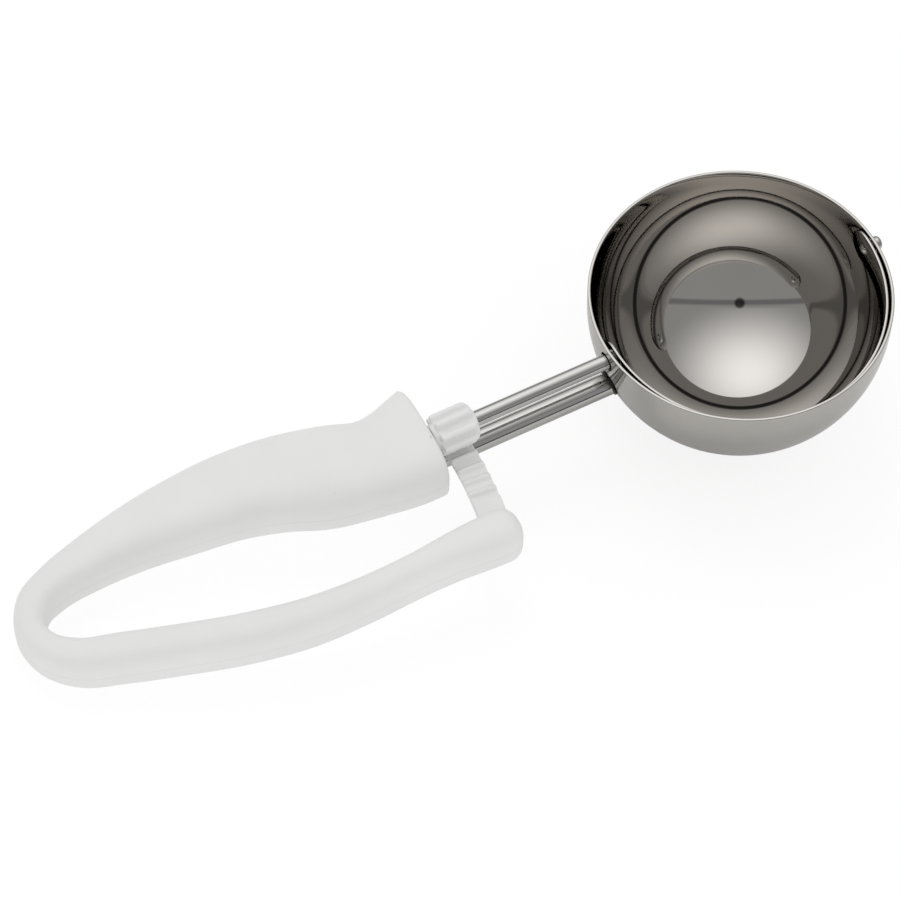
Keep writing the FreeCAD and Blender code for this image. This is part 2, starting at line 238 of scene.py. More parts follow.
# Weld and the burnt stain round it, the stain partly real heat tint and partly painted shade over the
# shank's reflection on the bowl: patches, colours, and reach past the shank in millimetres
WELD_PATCHES = 420.0
# The weld's near-black tone is partly its own oxide and partly painted shade of the gap at the joint
WELD_DARK = (0.003, 0.003, 0.003)
WELD_BROWN = (0.09, 0.085, 0.075)
WELD_ROUGHNESS = (0.22, 0.4)
WELD_RELIEF = (0.1 * MM, 0.4)
STAIN_SHADE_PATCHES = 700.0
STAIN_SHADE_COLOUR = (0.07, 0.06, 0.05)
STAIN_SHADE_UNEVEN = 0.5
STAIN_SHADE_REACH = (1.5, 3.4)
STAIN_SHADE_STRENGTH = 0.9
STAIN_SHADE_RISE = 1.0
STAIN_SHADE_SKIN = (0.5, 0.3)

# White nylon: gloss, mottle, rare specks, grain and the parting line's half width and softness
NYLON_GLOSS = 0.35
NYLON_MOTTLE = 55.0
MOTTLE_TONE = 0.965
MOTTLE_SHARES = (0.92, 1.1)
SPECKS = 141.0
SPECK_SIZE = (0.03, 0.07)
SPECK_STRENGTH = 0.35
SPECK_COLOUR = (0.42, 0.41, 0.39)
SPECK_FIELDS = 140.0
SPECK_RARITY = (0.62, 0.66)
NYLON_GRAIN = 1500.0
NYLON_RELIEF = (0.02 * MM, 0.25)
PARTING_WIDTH = (0.04, 0.22)
PARTING_STRENGTH = 0.55
PARTING_TONE = 0.86

# Camera: where it stands beside the level scoop, in metres, and its lens
CAMERA_PLACE = (-0.2973, -0.4142, 0.7160)
CAMERA_RIGHT = (0.8861, -0.4635, -0.0014)
CAMERA_UP = (0.3904, 0.7446, 0.5415)
CAMERA_LENS = 140.0
CAMERA_NEAR = 0.01
SENSOR = 36.0

# Studio: light on matte surfaces, and what polished metal sees by direction. Ranges are cosines:
# a glow round the lamp, cut off at eye level, a dark gap under that, a spot at the camera, a low fade
MATTE_LIGHT = 0.82
ROOM_GREY = 0.39
GLOW_STRENGTH = 1.15
GLOW_SPREAD = (0.42, 1.0)
GLOW_FALL = 2.0
EYE_LEVEL = (0.01, 0.04)
GAP_LOW = 0.05
GAP_WIDTH = (0.02, 0.05)
GAP_SHARE = 0.55
SPOT_EDGE = (0.9965, 0.9985)
SPOT_SHARE = 0.15
FADE_HEIGHT = (0.10, 0.24)
FADE_SHARE = 0.12
LAMP_DIRECTION = (0.042, 0.393, 0.901)
LAMP_DISTANCE = 0.9

# Share of white that the lit floor already gives for its shade
FLOOR_LIGHT = 0.85


def steel_settings():
    return bpy.context.scene.scoop_steel


def nylon_settings():
    return bpy.context.scene.scoop_nylon


def stage_settings():
    return bpy.context.scene.scoop_stage


def selected(obj):
    """Makes one object the only selected and active one."""
    bpy.ops.object.select_all(action="DESELECT")
    obj.select_set(True)
    bpy.context.view_layer.objects.active = obj


def new_shape(primitive, **sizes):
    """Adds one of Blender's starting shapes, with nothing else selected."""
    bpy.ops.object.select_all(action="DESELECT")
    primitive(**sizes)
    return bpy.context.object


def set_in_mesh(obj):
    """Puts an object's place, turn and scale into its mesh."""
    selected(obj)
    bpy.ops.object.transform_apply(location=True, rotation=True, scale=True)


def edit(obj, picks="VERT", action="SELECT"):
    """Enters edit mode on one object, with all of it selected or none."""
    selected(obj)
    bpy.ops.object.mode_set(mode="EDIT")
    bpy.ops.mesh.select_mode(type=picks)
    bpy.ops.mesh.select_all(action=action)


def leave_edit():
    bpy.ops.object.mode_set(mode="OBJECT")


def edit_part(obj, picks, parts, test):
    """Enters edit mode with only those parts of the mesh selected, faces or vertices, that pass a test."""
    edit(obj, picks, "DESELECT")
    leave_edit()
    for part in getattr(obj.data, parts):
        part.select = test(part)
    bpy.ops.object.mode_set(mode="EDIT")


def face_outwards():
    """Turns all faces outwards and leaves edit mode."""
    bpy.ops.mesh.select_all(action="SELECT")
    bpy.ops.mesh.normals_make_consistent(inside=False)
    leave_edit()


def apply_modifier(obj, kind, **settings):
    """Adds one modifier, sets it up and applies it."""
    selected(obj)
    modifier = obj.modifiers.new(kind.lower(), kind)
    for key, value in settings.items():
        setattr(modifier, key, value)
    bpy.ops.object.modifier_apply(modifier=modifier.name)


def cut_out(piece, tool):
    """Cuts a tool's shape out of a piece and takes the tool away."""
    apply_modifier(piece, "BOOLEAN", operation="DIFFERENCE", solver="EXACT", object=tool)
    bpy.data.objects.remove(tool)


def smoothed(obj, degrees):
    """Shades a piece smooth, with its sharper edges crisp."""
    selected(obj)
    bpy.ops.object.shade_smooth_by_angle(angle=math.radians(degrees))
    return obj


def settle(obj, name, material, body, nodes):
    """Moves a piece from the level scoop to its place in the frame and names what it is."""
    obj.matrix_world = LEVEL @ obj.matrix_world
    set_in_mesh(obj)
    obj.name = name
    obj.data.name = name
    obj.data.materials.clear()
    obj.data.materials.append(material)
    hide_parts(*nodes)
    if body:
        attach(obj, body)


def arc_points(centre, radius, start, end, steps):
    """Points of an arc in a plane, angles in degrees, both ends included."""
    points = []
    for step in range(steps + 1):
        angle = math.radians(start + (end - start) * step / steps)
        points.append((centre[0] + radius * math.cos(angle), centre[1] + radius * math.sin(angle)))
    return points


def drawn_line(points):
    """A chain of edges through points in millimetres, drawn by extruding one vertex."""
    line = new_shape(bpy.ops.mesh.primitive_plane_add, size=MM, location=Vector(points[0]) * MM)
    set_in_mesh(line)
    edit(line)
    bpy.ops.mesh.merge(type="CENTER")
    for before, after in zip(points, points[1:]):
        step = (Vector(after) - Vector(before)) * MM
        bpy.ops.mesh.extrude_region_move(TRANSFORM_OT_translate={"value": step})
    leave_edit()
    return line


def turned_piece(points, axis, steps):
    """Spins a profile round an axis through the origin and closes it."""
    piece = drawn_line(points)
    edit(piece)
    bpy.ops.mesh.spin(steps=steps, angle=math.tau, center=(0, 0, 0), axis=axis)
    bpy.ops.mesh.select_all(action="SELECT")
    bpy.ops.mesh.remove_doubles(threshold=TURNED_MERGE * MM)
    face_outwards()
    return piece


def turned_rod(points):
    """Rod turned about the shaft's line, from places along it and radii."""
    return turned_piece([(x, 0.0, radius) for x, radius in points], (1.0, 0.0, 0.0), ROD_STEPS)


def added(tree, kind, inputs, **settings):
    """Adds a node. Each of its inputs takes a plain value or the output of another node."""
    node = tree.nodes.new("ShaderNode" + kind)
    for key, value in settings.items():
        setattr(node, key, value)
    for socket, value in inputs.items():
        if isinstance(value, bpy.types.NodeSocket):
            tree.links.new(value, node.inputs[socket])
        else:
            node.inputs[socket].default_value = value
    return node


def calculated(tree, operation, *values):
    """Result of one step of arithmetic on one or two values."""
    return added(tree, "Math", dict(enumerate(values)), operation=operation).outputs["Value"]


def compared(tree, operation, vector, fixed):
    """Distance or dot product of a vector and a fixed one."""
    return added(tree, "VectorMath", {0: vector, 1: fixed}, operation=operation).outputs["Value"]


def mixed(tree, factor, first, second, kind="FLOAT"):
    """What lies between two values, or two colours where the kind is RGBA, by a factor from 0 to 1."""
    return added(tree, "Mix", {"Factor": factor, "A": first, "B": second}, data_type=kind).outputs["Result"]


def ranged(tree, value, source, target):
    """Maps a value from one range to another, held at its ends."""
    ends = {"From Min": source[0], "From Max": source[1], "To Min": target[0], "To Max": target[1]}
    return added(tree, "MapRange", {"Value": value, **ends}).outputs["Result"]


def noise(tree, vector, scale, detail=3.0, stretch=None):
    """A noise pattern on a vector, stretched if asked. The scale is in features to the metre."""
    if stretch:
        vector = added(tree, "Mapping", {"Vector": vector, "Scale": stretch}).outputs["Vector"]
    return added(tree, "TexNoise", {"Vector": vector, "Scale": scale, "Detail": detail}).outputs["Fac"]


def scaled(pair, size):
    """Both ends of a range times a size."""
    return tuple(end * size for end in pair)


def tinted(colour, share=1.0):
    """A colour as a socket takes it, darkened to a share of itself."""
    return (*(channel * share for channel in colour), 1.0)


def node_setup(name):
    """A new material with its node tree, its shader and its place in Object coordinates."""
    material = bpy.data.materials.new(name)
    material.use_nodes = True
    tree = material.node_tree
    where = added(tree, "TexCoord", {}).outputs["Object"]
    return material, tree, tree.nodes["Principled BSDF"], where


def dress(tree, shader, colour, roughness, pattern, relief):
    """Gives a shader its colour, its roughness and its relief, whose depth and strength are a pair."""
    depth, strength = relief
    bump = added(tree, "Bump", {"Height": pattern, "Distance": depth, "Strength": strength})
    tree.links.new(colour, shader.inputs["Base Color"])
    tree.links.new(roughness, shader.inputs["Roughness"])
    tree.links.new(bump.outputs["Normal"], shader.inputs["Normal"])


def weld_stain_and_shade(tree, where):
    """How burnt the bowl's outside is, by the distance from the weld, unevenly. This is partly real heat
    tint and partly painted shade that darkens the shank's reflection and the gap round it.
    """
    centre = LEVEL @ (Vector((-BOWL_RADIUS * math.cos(WELD_LEAN), 0.0, STAIN_SHADE_RISE - SHANK_DROP)) * MM)
    patches = noise(tree, where, STAIN_SHADE_PATCHES)
    uneven = ranged(tree, patches, NOISE_MIDDLE, scaled((-STAIN_SHADE_UNEVEN, STAIN_SHADE_UNEVEN), MM))
    away = calculated(tree, "ADD", compared(tree, "DISTANCE", where, centre), uneven)
    reach = [(SHANK_RADIUS + past) * MM for past in STAIN_SHADE_REACH]
    burnt_and_shaded = ranged(tree, away, reach, (STAIN_SHADE_STRENGTH, 0.0))
    skin = [(BOWL_RADIUS - deep) * MM for deep in STAIN_SHADE_SKIN]
    outside = ranged(tree, compared(tree, "DISTANCE", where, BOWL_CENTRE), skin, (0.0, 1.0))
    return calculated(tree, "MULTIPLY", burnt_and_shaded, outside)


def polished_steel(name, colour, roughness, clouding, stained_and_shaded=False):
    """Mirror-polished stainless with faint clouding and hairline swirls in its polish, and where asked the
    weld's burnt stain with its painted shade.
    """
    material, tree, shader, where = node_setup(name)
    shader.inputs["Metallic"].default_value = 1.0
    clouds = ranged(tree, noise(tree, where, POLISH_CLOUDS), NOISE_MIDDLE, (0.0, 1.0))
    tone = mixed(tree, clouds, tinted(colour, 1.0 - clouding), tinted(colour), "RGBA")
    if stained_and_shaded:
        # Burnt stain near the weld, partly painted shade that darkens the shank's reflection on the bowl
        tone = mixed(tree, weld_stain_and_shade(tree, where), tone, tinted(STAIN_SHADE_COLOUR), "RGBA")
    haze = noise(tree, where, POLISH_HAZE, detail=4.0)
    blur = ranged(tree, haze, HAZE_MIDDLE, scaled(HAZE_SHARES, roughness))
    hairlines = noise(tree, where, HAIRLINES, detail=2.0, stretch=HAIRLINE_STRETCH)
    dress(tree, shader, tone, blur, hairlines, HAIRLINE_RELIEF)
    return material


def drawn_steel(name, colour, roughness):
    """Bright bar, ground round and round, so its highlights run along it in soft streaks."""
    material, tree, shader, where = node_setup(name)
    shader.inputs["Metallic"].default_value = 1.0
    lean = (0.0, math.asin(SHAFT.z), 0.0)
    along = added(tree, "Mapping", {"Vector": where, "Rotation": lean}).outputs["Vector"]
    rings = noise(tree, along, BAR_RINGS, stretch=BAR_STRETCH)
    tone = mixed(tree, rings, tinted(colour, BAR_TONE), tinted(colour), "RGBA")
    blur = ranged(tree, rings, NOISE_MIDDLE, scaled(BAR_SHARES, roughness))
    dress(tree, shader, tone, blur, rings, BAR_RELIEF)
    return material


def weld_steel(name):
    """Dull, slightly browned and rippled bead of weld, near black in patches, partly its own dark oxide and
    partly painted shade of the gap where the shank meets the bowl.
    """
    material, tree, shader, where = node_setup(name)
    shader.inputs["Metallic"].default_value = 1.0
    patches = noise(tree, where, WELD_PATCHES)
    tone = mixed(tree, patches, tinted(WELD_DARK), tinted(WELD_BROWN), "RGBA")
    blur = ranged(tree, patches, NOISE_MIDDLE, WELD_ROUGHNESS)
    dress(tree, shader, tone, blur, patches, WELD_RELIEF)
    return material


def parting_line(tree, where):
    """How much the thin line shows along which the mould parted, halfway up the loop."""
    middle = (LEVEL @ Vector((0.0, 0.0, -LOOP_DROP * MM))).dot(UPRIGHT)
    above = calculated(tree, "SUBTRACT", compared(tree, "DOT_PRODUCT", where, UPRIGHT), middle)
    away = calculated(tree, "ABSOLUTE", above)
    return ranged(tree, away, scaled(PARTING_WIDTH, MM), (PARTING_STRENGTH, 0.0))


def white_nylon(name, colour, roughness, parted=False):
    """Matte white moulding with fine grain, faint mottle, tiny specks and, on the loop, its parting line."""
    material, tree, shader, where = node_setup(name)
    shader.inputs["Specular IOR Level"].default_value = NYLON_GLOSS
    mottle = noise(tree, where, NYLON_MOTTLE)
    mottling = ranged(tree, mottle, NOISE_MIDDLE, (0.0, 1.0))
    tone = mixed(tree, mottling, tinted(colour, MOTTLE_TONE), tinted(colour), "RGBA")
    specks = added(tree, "TexVoronoi", {"Vector": where, "Scale": SPECKS}).outputs["Distance"]
    spots = ranged(tree, specks, SPECK_SIZE, (SPECK_STRENGTH, 0.0))
    rare = ranged(tree, noise(tree, where, SPECK_FIELDS, detail=1.0), SPECK_RARITY, (0.0, 1.0))
    speckled = calculated(tree, "MULTIPLY", spots, rare)
    tone = mixed(tree, speckled, tone, tinted(SPECK_COLOUR), "RGBA")
    if parted:
        tone = mixed(tree, parting_line(tree, where), tone, tinted(colour, PARTING_TONE), "RGBA")
    blur = ranged(tree, mottle, NOISE_MIDDLE, scaled(MOTTLE_SHARES, roughness))
    dress(tree, shader, tone, blur, noise(tree, where, NYLON_GRAIN), NYLON_RELIEF)
    return material


def span_point(span, t):
    """Place and slope at a share t of the way between two sections, on a smooth curve through both."""
    start, end, leaving, arriving = span
    place = (start * (2 * t ** 3 - 3 * t ** 2 + 1) + leaving * (t ** 3 - 2 * t ** 2 + t)
             + end * (3 * t ** 2 - 2 * t ** 3) + arriving * (t ** 3 - t ** 2))
    slope = (start * (6 * t ** 2 - 6 * t) + leaving * (3 * t ** 2 - 4 * t + 1)
             + end * (6 * t - 6 * t ** 2) + arriving * (3 * t ** 2 - 2 * t))
    return place, slope


def handle_stations():
    """Smooth sections along the loop: each is a place, a heading, a thickness and a height."""
    rows = [Vector((COLLAR_FRONT - behind, *section)) for behind, *section in LOOP_SECTIONS]
    gaps = [(end.xy - start.xy).length for start, end in zip(rows, rows[1:])]
    rates = [(end - start) / gap for start, end, gap in zip(rows, rows[1:], gaps)]
    slopes = [rates[0]]
    for before, after, gap, next_gap in zip(rates, rates[1:], gaps, gaps[1:]):
        slopes.append((before * next_gap + after * gap) / (gap + next_gap))
    slopes.append(rates[-1])
    stations = []
    for index, gap in enumerate(gaps):
        span = (rows[index], rows[index + 1], slopes[index] * gap, slopes[index + 1] * gap)
        for step in range(SPAN_STEPS):
            place, slope = span_point(span, step / SPAN_STEPS)
            stations.append((place.xy, math.atan2(slope.y, slope.x), place.z, place.w))
    last, slope = rows[-1], slopes[-1]
    stations.append((last.xy, math.atan2(slope.y, slope.x), last.z, last.w))
    return stations


def rounded_ends(stations):
    """Adds the collar's rounded front edge and the domed tip to the run of sections."""
    place, heading, thick, high = stations[0]
    front = []
    for step in range(COLLAR_STEPS):
        angle = math.radians(90.0 * step / COLLAR_STEPS)
        inset = COLLAR_ROUND * (1.0 - math.sin(angle))
        back = COLLAR_ROUND * (1.0 - math.cos(angle))
        front.append((place + Vector((-back, 0.0)), math.pi, thick - 2 * inset, high - 2 * inset))
    edge = (place + Vector((-COLLAR_ROUND, 0.0)), math.pi, thick, high)
    body = []
    for station in stations:
        if place.x - station[0].x > COLLAR_STRAIGHT or station[0].y < LEVER_SIDE:
            body.append(station)
    place, heading, thick, high = stations[-1]
    forwards = Vector((math.cos(heading), math.sin(heading)))
    tip = []
    for angle in TIP_ANGLES:
        turn = math.radians(angle)
        shrink = 2.0 * TIP_ROUND * (1.0 - math.cos(turn))
        tip.append((place + forwards * TIP_ROUND * math.sin(turn), heading, thick - shrink, high - shrink))
    return front + [edge] + body + tip


def turn_selected(angle, centre):
    """Turns what is selected about the upright axis. The sign is for an operator without a window."""
    bpy.ops.transform.rotate(value=-angle, orient_axis="Z", center_override=centre)


def handle_moulding():
    """Grip, springy bow and lever as the one moulding they are, extruded section by section."""
    stations = rounded_ends(handle_stations())
    loop = new_shape(bpy.ops.mesh.primitive_plane_add, size=2.0 * MM,
                     rotation=(math.pi / 2.0, 0.0, math.pi / 2.0))
    set_in_mesh(loop)
    edit(loop)
    bpy.ops.mesh.bevel(affect="VERTICES", offset_type="PERCENT", offset_pct=50.0, segments=CORNER_STEPS,
                       profile=2.0 ** (-2.0 / SQUARENESS))
    bpy.ops.mesh.remove_doubles(threshold=MOULDED_MERGE * MM)
    bpy.ops.transform.translate(value=Vector((*stations[0][0], -LOOP_DROP)) * MM)
    now = (stations[0][0], 0.0, 2.0, 2.0)
    for station in stations:
        place, heading, thick, high = station
        if station is not stations[0]:
            step = Vector((*(place - now[0]), 0.0)) * MM
            bpy.ops.mesh.extrude_region_move(TRANSFORM_OT_translate={"value": step})
        centre = Vector((*place, -LOOP_DROP)) * MM
        turn_selected(-now[1], centre)
        bpy.ops.transform.resize(value=(1.0, thick / now[2], high / now[3]), center_override=centre)
        turn_selected(heading, centre)
        now = station
    face_outwards()
    return smoothed(loop, HANDLE_CREASE)


def drill(piece, place, radius):
    """Cuts a round hole along the shaft's line through the wall at a place."""
    bit = new_shape(bpy.ops.mesh.primitive_cylinder_add, vertices=HOLE_STEPS, radius=radius,
                    depth=HOLE_DEPTH * MM, location=(place * MM, 0.0, 0.0),
                    rotation=(0.0, math.pi / 2.0, 0.0))
    cut_out(piece, bit)


def bowl_piece():
    """Bowl shell: spun hemisphere, short straight band and rounded rim, with its two pivot holes."""
    top = RIM_HEIGHT - RIM_ROUND
    outline = arc_points((0.0, 0.0), BOWL_RADIUS, -90.0, 0.0, BOWL_STEPS // 4)
    outline += [(BOWL_RADIUS, top * share) for share in RIM_SHARES]
    outline += arc_points((BOWL_RADIUS - RIM_ROUND, top), RIM_ROUND, 0.0, 90.0, RIM_STEPS)
    outline += arc_points((BOWL_INSIDE + RIM_ROUND, top), RIM_ROUND, 90.0, 180.0, RIM_STEPS)
    outline += [(BOWL_INSIDE, top * share) for share in reversed(RIM_SHARES)]
    outline += arc_points((0.0, 0.0), BOWL_INSIDE, 0.0, -90.0, BOWL_STEPS // 4)
    bowl = turned_piece([(x, 0.0, z) for x, z in outline], (0.0, 0.0, 1.0), BOWL_STEPS)
    for place, radius in ((-BOWL_RADIUS, SHAFT_RADIUS), (BOWL_RADIUS, PIN_RADIUS)):
        drill(bowl, place, radius * MM + steel_settings().hole_gap)
    return smoothed(bowl, BOWL_CREASE)


def rivet_seat():
    """Place along the shaft's line where the rivets sit on the inside of the ears."""
    inside = BLADE_OUTSIDE - steel_settings().blade_thickness / MM
    return math.sqrt(inside ** 2 - RIVET_RADIUS ** 2) - SEAT_CLEARANCE


def rivet_outline(seat, inwards):
    """Low domed head, from its edge on the ear to its top."""
    dome = (RIVET_RADIUS ** 2 + RIVET_HEIGHT ** 2) / (2.0 * RIVET_HEIGHT)
    centre = seat + inwards * (RIVET_HEIGHT - dome)
    half = math.degrees(math.asin(RIVET_RADIUS / dome))
    arc = arc_points((centre, 0.0), dome, half, 0.0, RIVET_STEPS)
    return [(centre + inwards * (x - centre), y) for x, y in arc]


def shaft_piece():
    """Long shaft from its bearing in the grip to its peened head inside the near ear."""
    seat = rivet_seat()
    shoulder = BLADE_OUTSIDE + SEAT_CLEARANCE
    back = COLLAR_FRONT - SHAFT_IN_GRIP
    points = [(back, 0.0), (back, SHAFT_RADIUS - SHAFT_CHAMFER), (back + SHAFT_CHAMFER, SHAFT_RADIUS)]
    points += [(back + RING_SPACING * step, SHAFT_RADIUS) for step in range(1, SHAFT_RINGS)]
    points += [(-shoulder, SHAFT_RADIUS), (-shoulder, TENON_RADIUS), (-seat, TENON_RADIUS)]
    return smoothed(turned_rod(points + rivet_outline(-seat, 1.0)), ROD_CREASE)


def pin_piece():
    """Far pin with its rounded knob outside the bowl and its peened head inside."""
    seat = rivet_seat()
    shoulder = BLADE_OUTSIDE + SEAT_CLEARANCE
    knob = BOWL_RADIUS + SIDE_CLEARANCE
    tip = knob + KNOB_LENGTH
    points = rivet_outline(seat, -1.0)[::-1]
    points += [(seat, TENON_RADIUS), (shoulder, TENON_RADIUS), (shoulder, PIN_RADIUS)]
    points += [(knob, PIN_RADIUS), (knob, KNOB_RADIUS)]
    points += arc_points((tip - KNOB_ROUND, KNOB_RADIUS - KNOB_ROUND), KNOB_ROUND, 90.0, 0.0, KNOB_STEPS)
    points += [(tip, 0.0)]
    return smoothed(turned_rod(points), ROD_CREASE)


def shank_piece():
    """Round bar, grooved where the grip holds it and coped to the bowl in front."""
    back = COLLAR_FRONT - SHANK_IN_GRIP
    front = -BOWL_RADIUS / 2.0
    low = SHANK_RADIUS - GROOVE_DEPTH
    points = [(back, 0.0), (back, SHANK_RADIUS - SHANK_CHAMFER), (back + SHANK_CHAMFER, SHANK_RADIUS)]
    for index in range(GROOVE_COUNT):
        start = back + 4.0 * (index + 1) * GROOVE_WIDTH
        end = start + GROOVE_WIDTH
        points += [(start, SHANK_RADIUS), (start, low), (end, low), (end, SHANK_RADIUS)]
    points += [(COLLAR_FRONT + RING_SPACING * step, SHANK_RADIUS) for step in range(SHANK_RINGS)]
    points += [(front, SHANK_RADIUS), (front, 0.0)]
    bar = turned_rod(points)
    bar.location.z = -SHANK_DROP * MM
    set_in_mesh(bar)
    ball = new_shape(bpy.ops.mesh.primitive_uv_sphere_add, segments=ROD_STEPS, ring_count=ROD_STEPS // 2,
                     radius=(BOWL_RADIUS - COPE_DEPTH) * MM)
    cut_out(bar, ball)
    return smoothed(bar, ROD_CREASE)


def weld_piece():
    """Uneven bead of weld round the shank, lying on the bowl."""
    bead = new_shape(bpy.ops.mesh.primitive_torus_add, major_segments=ROD_STEPS, minor_segments=BEAD_STEPS,
                     major_radius=SHANK_RADIUS * MM, minor_radius=steel_settings().weld_bead)
    edit(bead)
    bpy.ops.transform.vertex_random(offset=WELD_UNEVEN * MM, uniform=0.5, normal=1.0, seed=WELD_SEED)
    bpy.ops.mesh.vertices_smooth(factor=0.5, repeat=2)
    leave_edit()
    bead.scale = (1.0 / math.cos(WELD_LEAN), 1.0, WELD_HEIGHT)
    bead.rotation_euler = (0.0, -WELD_LEAN - math.pi / 2.0, 0.0)
    bead.location = Vector((-BOWL_RADIUS * math.cos(WELD_LEAN), 0.0, -SHANK_DROP)) * MM
    set_in_mesh(bead)
    return smoothed(bead, WELD_CREASE)


def grown_ears(half):
    """Draws the strip's two picked ends out into round ears, of half the strip's width."""
    reach, width = 0.0, half
    for step in range(1, EAR_STEPS):
        angle = math.pi / 2.0 * step / EAR_STEPS
        ahead, narrow = half * math.sin(angle), half * math.cos(angle)
        bpy.ops.mesh.extrude_region_move(TRANSFORM_OT_translate={"value": (0.0, (ahead - reach) * MM, 0.0)})
        bpy.ops.transform.resize(value=(1.0, 1.0, narrow / width), center_override=(0.0, ahead * MM, 0.0))
        reach, width = ahead, narrow
    leave_edit()


def blade_piece():
    """Half-ring strip with round ears, its edges broken, parked just off the rim."""
    steel = steel_settings()
    thickness = steel.blade_thickness / MM
    strip = new_shape(bpy.ops.mesh.primitive_plane_add, size=MM, rotation=(math.pi / 2.0, 0.0, 0.0))
    strip.scale = (thickness, BLADE_WIDTH, 1.0)
    strip.location = (-(BLADE_OUTSIDE - thickness / 2.0) * MM, 0.0, 0.0)
    set_in_mesh(strip)
    edit(strip)
    bpy.ops.mesh.spin(steps=BLADE_STEPS, angle=-math.pi, center=(0, 0, 0), axis=(0, 0, 1))
    face_outwards()
    edit_part(strip, "FACE", "polygons",
              lambda face: abs(face.center.y) < END_REACH * MM and face.normal.y > FACING)
    grown_ears(BLADE_WIDTH / 2.0)
    apply_modifier(strip, "BEVEL", width=steel.blade_edge, segments=BLADE_EDGE_STEPS, limit_method="ANGLE",
                   angle_limit=math.radians(BLADE_EDGE_ANGLE))
    strip.rotation_euler = (math.radians(PARK_ANGLE), 0.0, 0.0)
    set_in_mesh(strip)
    return smoothed(strip, BLADE_CREASE)


def moulded_copy(node):
    """A gear moulding's solid as one merged mesh, on the level scoop."""
    solid = frame["nodes"][node]
    piece = solid.copy()
    piece.data = solid.data.copy()
    piece.parent = None
    for key in list(piece.keys()):
        del piece[key]
    bpy.context.scene.collection.objects.link(piece)
    piece.hide_render = False
    piece.matrix_world = LEVEL.inverted()
    set_in_mesh(piece)
    edit(piece)
    bpy.ops.mesh.remove_doubles(threshold=MOULDED_MERGE * MM)
    bpy.ops.mesh.customdata_custom_splitnormals_clear()
    leave_edit()
    return piece


def lowered_teeth(strap, height):
    """Brings the strap's teeth down to the low waves that show, by a share of their height."""
    edit_part(strap, "VERT", "vertices", lambda corner: corner.co.z > STRAP_ROOT * MM)
    bpy.ops.transform.resize(value=(1.0, 1.0, height), center_override=(0.0, 0.0, STRAP_ROOT * MM))
    leave_edit()


def eased_edges(piece, grain, passes):
    """Remeshes a moulding finely and eases all of its edges."""
    apply_modifier(piece, "REMESH", mode="VOXEL", voxel_size=grain, use_smooth_shade=True)
    apply_modifier(piece, "SMOOTH", factor=EASE_SHARE, iterations=passes)


def make_bowl():
    steel = steel_settings()
    # The bowl carries the weld's stain, partly painted shade near the shank
    material = polished_steel("spun_steel", steel.bowl_colour, steel.bowl_roughness, BOWL_CLOUDING,
                              stained_and_shaded=True)
    settle(bowl_piece(), "bowl_shell", material, "scoop_body", ["bowl"])


def make_blade():
    steel = steel_settings()
    haze = steel.bowl_roughness * BLADE_HAZE
    strip = polished_steel("blade_steel", steel.bowl_colour, haze, BLADE_CLOUDING)
    bar = drawn_steel("shaft_steel", steel.bar_colour, steel.bar_roughness)
    settle(blade_piece(), "blade_strip", strip, "blade_drive", ["sweep_blade"])
    settle(shaft_piece(), "shaft_rod", bar, "blade_drive", ["blade_shaft"])
    settle(pin_piece(), "pivot_knob", bar, "blade_drive", ["pivot_pin"])


def make_shank():
    steel = steel_settings()
    bar = drawn_steel("shank_steel", steel.bar_colour, steel.bar_roughness)
    settle(shank_piece(), "shank_bar", bar, "scoop_body", ["shank"])
    settle(weld_piece(), "weld_bead", weld_steel("weld_steel"), "scoop_body", ["shank_weld"])


def make_gears():
    nylon = nylon_settings()
    material = white_nylon("gear_nylon", nylon.gear_colour, nylon.roughness)
    pinion, strap = moulded_copy("pinion"), moulded_copy("gear_strap")
    lowered_teeth(strap, nylon.tooth_height)
    eased_edges(pinion, nylon.gear_grain, PINION_PASSES)
    eased_edges(strap, nylon.gear_grain, STRAP_PASSES)
    settle(pinion, "pinion_teeth", material, "blade_drive", ["pinion"])
    settle(strap, "strap_teeth", material, "lever", ["gear_strap"])


def make_handle():
    nylon = nylon_settings()
    loop = handle_moulding()
    material = white_nylon("handle_nylon", nylon.handle_colour, nylon.roughness, parted=True)
    nodes = ["handle_grip", "handle_bow", "handle_lever"]
    settle(loop, "handle_moulding", material, None, nodes)
    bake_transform(loop)


def linked(name, data):
    """Adds an object of the stage to the scene."""
    obj = bpy.data.objects.new(name, data)
    bpy.context.scene.collection.objects.link(obj)
    return obj


def row_direction(level_direction):
    """A direction of the level scoop, turned as the scoop leans on the floor."""
    return (LEVEL.to_3x3() @ Vector(level_direction)).normalized()


def make_camera():
    """Camera at the photograph's angle, aimed and turned as the level scoop sees it."""
    right, up = Vector(CAMERA_RIGHT), Vector(CAMERA_UP)
    turn = Matrix((right, up, right.cross(up))).transposed().to_4x4()
    camera = linked("camera", bpy.data.cameras.new("camera"))
    camera.matrix_world = LEVEL @ Matrix.Translation(Vector(CAMERA_PLACE)) @ turn
    camera.data.lens = CAMERA_LENS
    camera.data.sensor_width = SENSOR
    camera.data.clip_start = CAMERA_NEAR
    bpy.context.scene.camera = camera


